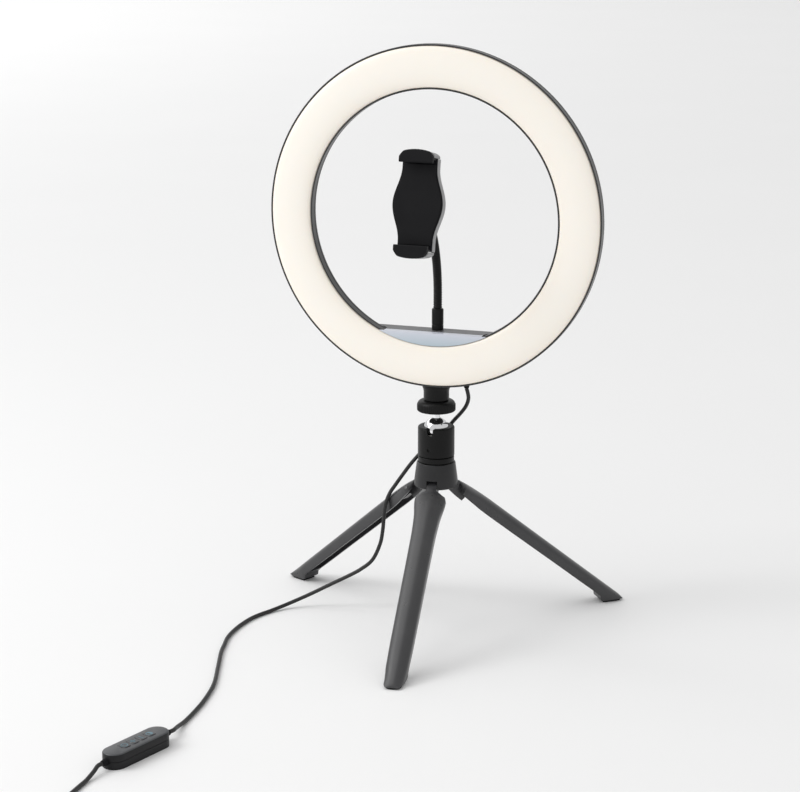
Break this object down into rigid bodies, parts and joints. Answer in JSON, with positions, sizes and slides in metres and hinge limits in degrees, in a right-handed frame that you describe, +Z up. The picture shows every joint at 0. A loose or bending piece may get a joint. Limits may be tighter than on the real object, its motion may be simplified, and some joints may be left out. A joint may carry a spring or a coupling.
{
  "type": "ring light",
  "caption": "Desk ring lamp on a folding mini tripod with a ball head, a sprung phone holder on a gooseneck and a USB lead with an inline remote.",
  "frame": {"origin": "middle of the footprint of lamp and tripod, on the floor under the foot pads", "axes": "+Z up, the lamp and the phone holder face -Y, +X to the right of someone who looks at the lamp's back"},
  "size_m": [0.2764, 0.5537, 0.45],
  "materials": {
    "black_plastic": "satin black moulding",
    "leg_plastic": "satin dark grey moulding",
    "holder_plastic": "satin dark grey moulding",
    "rubber": "matte black",
    "diffuser": "milky translucent, smooth",
    "panel": "smooth, pale blue grey",
    "board": "white solder mask",
    "chrome": "polished",
    "steel": "plated",
    "brass": "turned",
    "lead": "matte black jacket",
    "nylon": "natural nylon",
    "button": "satin, printed with plain signs"
  },
  "bodies": {
    "base": {"crown": "black_plastic", "centre_screw": "steel", "head_base": "black_plastic", "hinge_pin_front": "steel", "hinge_pin_right": "steel", "hinge_pin_left": "steel", "remote_bottom": "black_plastic", "remote_top": "black_plastic", "remote_board": "board", "boot_lamp_side": "rubber", "boot_plug_side": "rubber", "lead_to_remote": "lead", "lead_to_coil": "lead", "lead_to_plug": "lead", "lead_coil": "lead", "coil_tie": "black_plastic", "usb_overmould": "rubber", "usb_shell": "steel"},
    "front_leg": {"leg_front": "leg_plastic", "foot_pad_front": "rubber"},
    "right_leg": {"leg_right": "leg_plastic", "foot_pad_right": "rubber"},
    "left_leg": {"leg_left": "leg_plastic", "foot_pad_left": "rubber"},
    "sleeve": {"lock_sleeve": "black_plastic", "grub_screw": "steel"},
    "swivel": {"ball_seat": "nylon"},
    "head": {"ball_stud": "chrome", "lead_at_head": "lead"},
    "collar": {"lock_collar": "black_plastic"},
    "lamp": {"neck": "black_plastic", "neck_insert": "brass", "front_frame": "black_plastic", "back_cover": "black_plastic", "diffuser": "diffuser", "led_board": "board", "segment_panel": "panel", "shelf": "black_plastic", "cover_screw_top": "steel", "cover_screw_left": "steel", "cover_screw_right": "steel", "lead_gland": "rubber", "lead_at_lamp": "lead", "gooseneck_ferrule": "black_plastic", "gooseneck_nut": "steel", "gooseneck": "black_plastic"},
    "arm_tip": {"gooseneck_tip": "chrome"},
    "grip_nut": {"holder_nut": "black_plastic"},
    "grip": {"holder_back": "holder_plastic", "holder_face": "holder_plastic", "holder_pad": "rubber", "fixed_jaw": "holder_plastic", "lower_jaw_pad": "rubber", "jaw_spring": "steel"},
    "jaw": {"sliding_jaw": "holder_plastic", "upper_jaw_pad": "rubber"},
    "power_button": {"button_power": "button"},
    "brighter_button": {"button_brighter": "button"},
    "dimmer_button": {"button_dimmer": "button"},
    "colour_button": {"button_colour": "button"}
  },
  "joints": [
    {"name": "front_leg_fold", "type": "hinge", "parent": "base", "child": "front_leg", "pos_m": [0.00863, 0.02035, 0.1115], "axis": [0.9947, 0.1028, 0], "range_deg": [0, 51]},
    {"name": "right_leg_fold", "type": "hinge", "parent": "base", "child": "right_leg", "pos_m": [0.0157, 0.03616, 0.1115], "axis": [-0.5864, 0.81, 0], "range_deg": [0, 51]},
    {"name": "left_leg_fold", "type": "hinge", "parent": "base", "child": "left_leg", "pos_m": [-0.00153, 0.03438, 0.1115], "axis": [-0.4083, -0.9128, 0], "range_deg": [0, 51]},
    {"name": "lock_turn", "type": "hinge", "parent": "base", "child": "sleeve", "pos_m": [0.0076, 0.0303, 0.145], "axis": [0, 0, 1], "range_deg": [-25, 25]},
    {"name": "head_pan", "type": "hinge", "parent": "base", "child": "swivel", "pos_m": [0.0076, 0.0303, 0.1539], "axis": [0, 0, 1], "range_deg": [-90, 90], "deforming": ["lead_to_remote"]},
    {"name": "head_tilt", "type": "hinge", "parent": "swivel", "child": "head", "pos_m": [0.0076, 0.0303, 0.1539], "axis": [1, 0, 0], "range_deg": [-35, 35], "deforming": ["lead_at_head"]},
    {"name": "collar_turn", "type": "hinge", "parent": "head", "child": "collar", "pos_m": [0.0076, 0.0303, 0.173], "axis": [0, 0, 1], "continuous": true},
    {"name": "lamp_turn", "type": "hinge", "parent": "head", "child": "lamp", "pos_m": [0.0076, 0.0303, 0.183], "axis": [0, 0, 1], "range_deg": [-90, 90], "deforming": ["lead_at_lamp"]},
    {"name": "gooseneck_bend", "type": "hinge", "parent": "lamp", "child": "arm_tip", "pos_m": [0.0076, 0.0283, 0.285], "axis": [1, 0, 0], "range_deg": [-20, 20], "deforming": ["gooseneck"]},
    {"name": "holder_tilt", "type": "hinge", "parent": "arm_tip", "child": "grip_nut", "pos_m": [0.0076, -0.0019, 0.3332], "axis": [1, 0, 0], "range_deg": [-60, 2]},
    {"name": "holder_spin", "type": "hinge", "parent": "grip_nut", "child": "grip", "pos_m": [0.0076, -0.0019, 0.3332], "axis": [0, 0.9781, -0.2079], "continuous": true},
    {"name": "jaw_slide", "type": "slide", "parent": "grip", "child": "jaw", "axis": [0, 0.2079, 0.9781], "range_m": [0, 0.025], "stiffness_N_per_m": 120, "springref_m": -0.02, "deforming": ["jaw_spring"]},
    {"name": "power_press", "type": "slide", "parent": "base", "child": "power_button", "axis": [0, 0, -1], "range_m": [0, 0.0006], "stiffness_N_per_m": 500, "springref_m": -0.0006},
    {"name": "brighter_press", "type": "slide", "parent": "base", "child": "brighter_button", "axis": [0, 0, -1], "range_m": [0, 0.0006], "stiffness_N_per_m": 500, "springref_m": -0.0006},
    {"name": "dimmer_press", "type": "slide", "parent": "base", "child": "dimmer_button", "axis": [0, 0, -1], "range_m": [0, 0.0006], "stiffness_N_per_m": 500, "springref_m": -0.0006},
    {"name": "colour_press", "type": "slide", "parent": "base", "child": "colour_button", "axis": [0, 0, -1], "range_m": [0, 0.0006], "stiffness_N_per_m": 500, "springref_m": -0.0006}
  ]
}
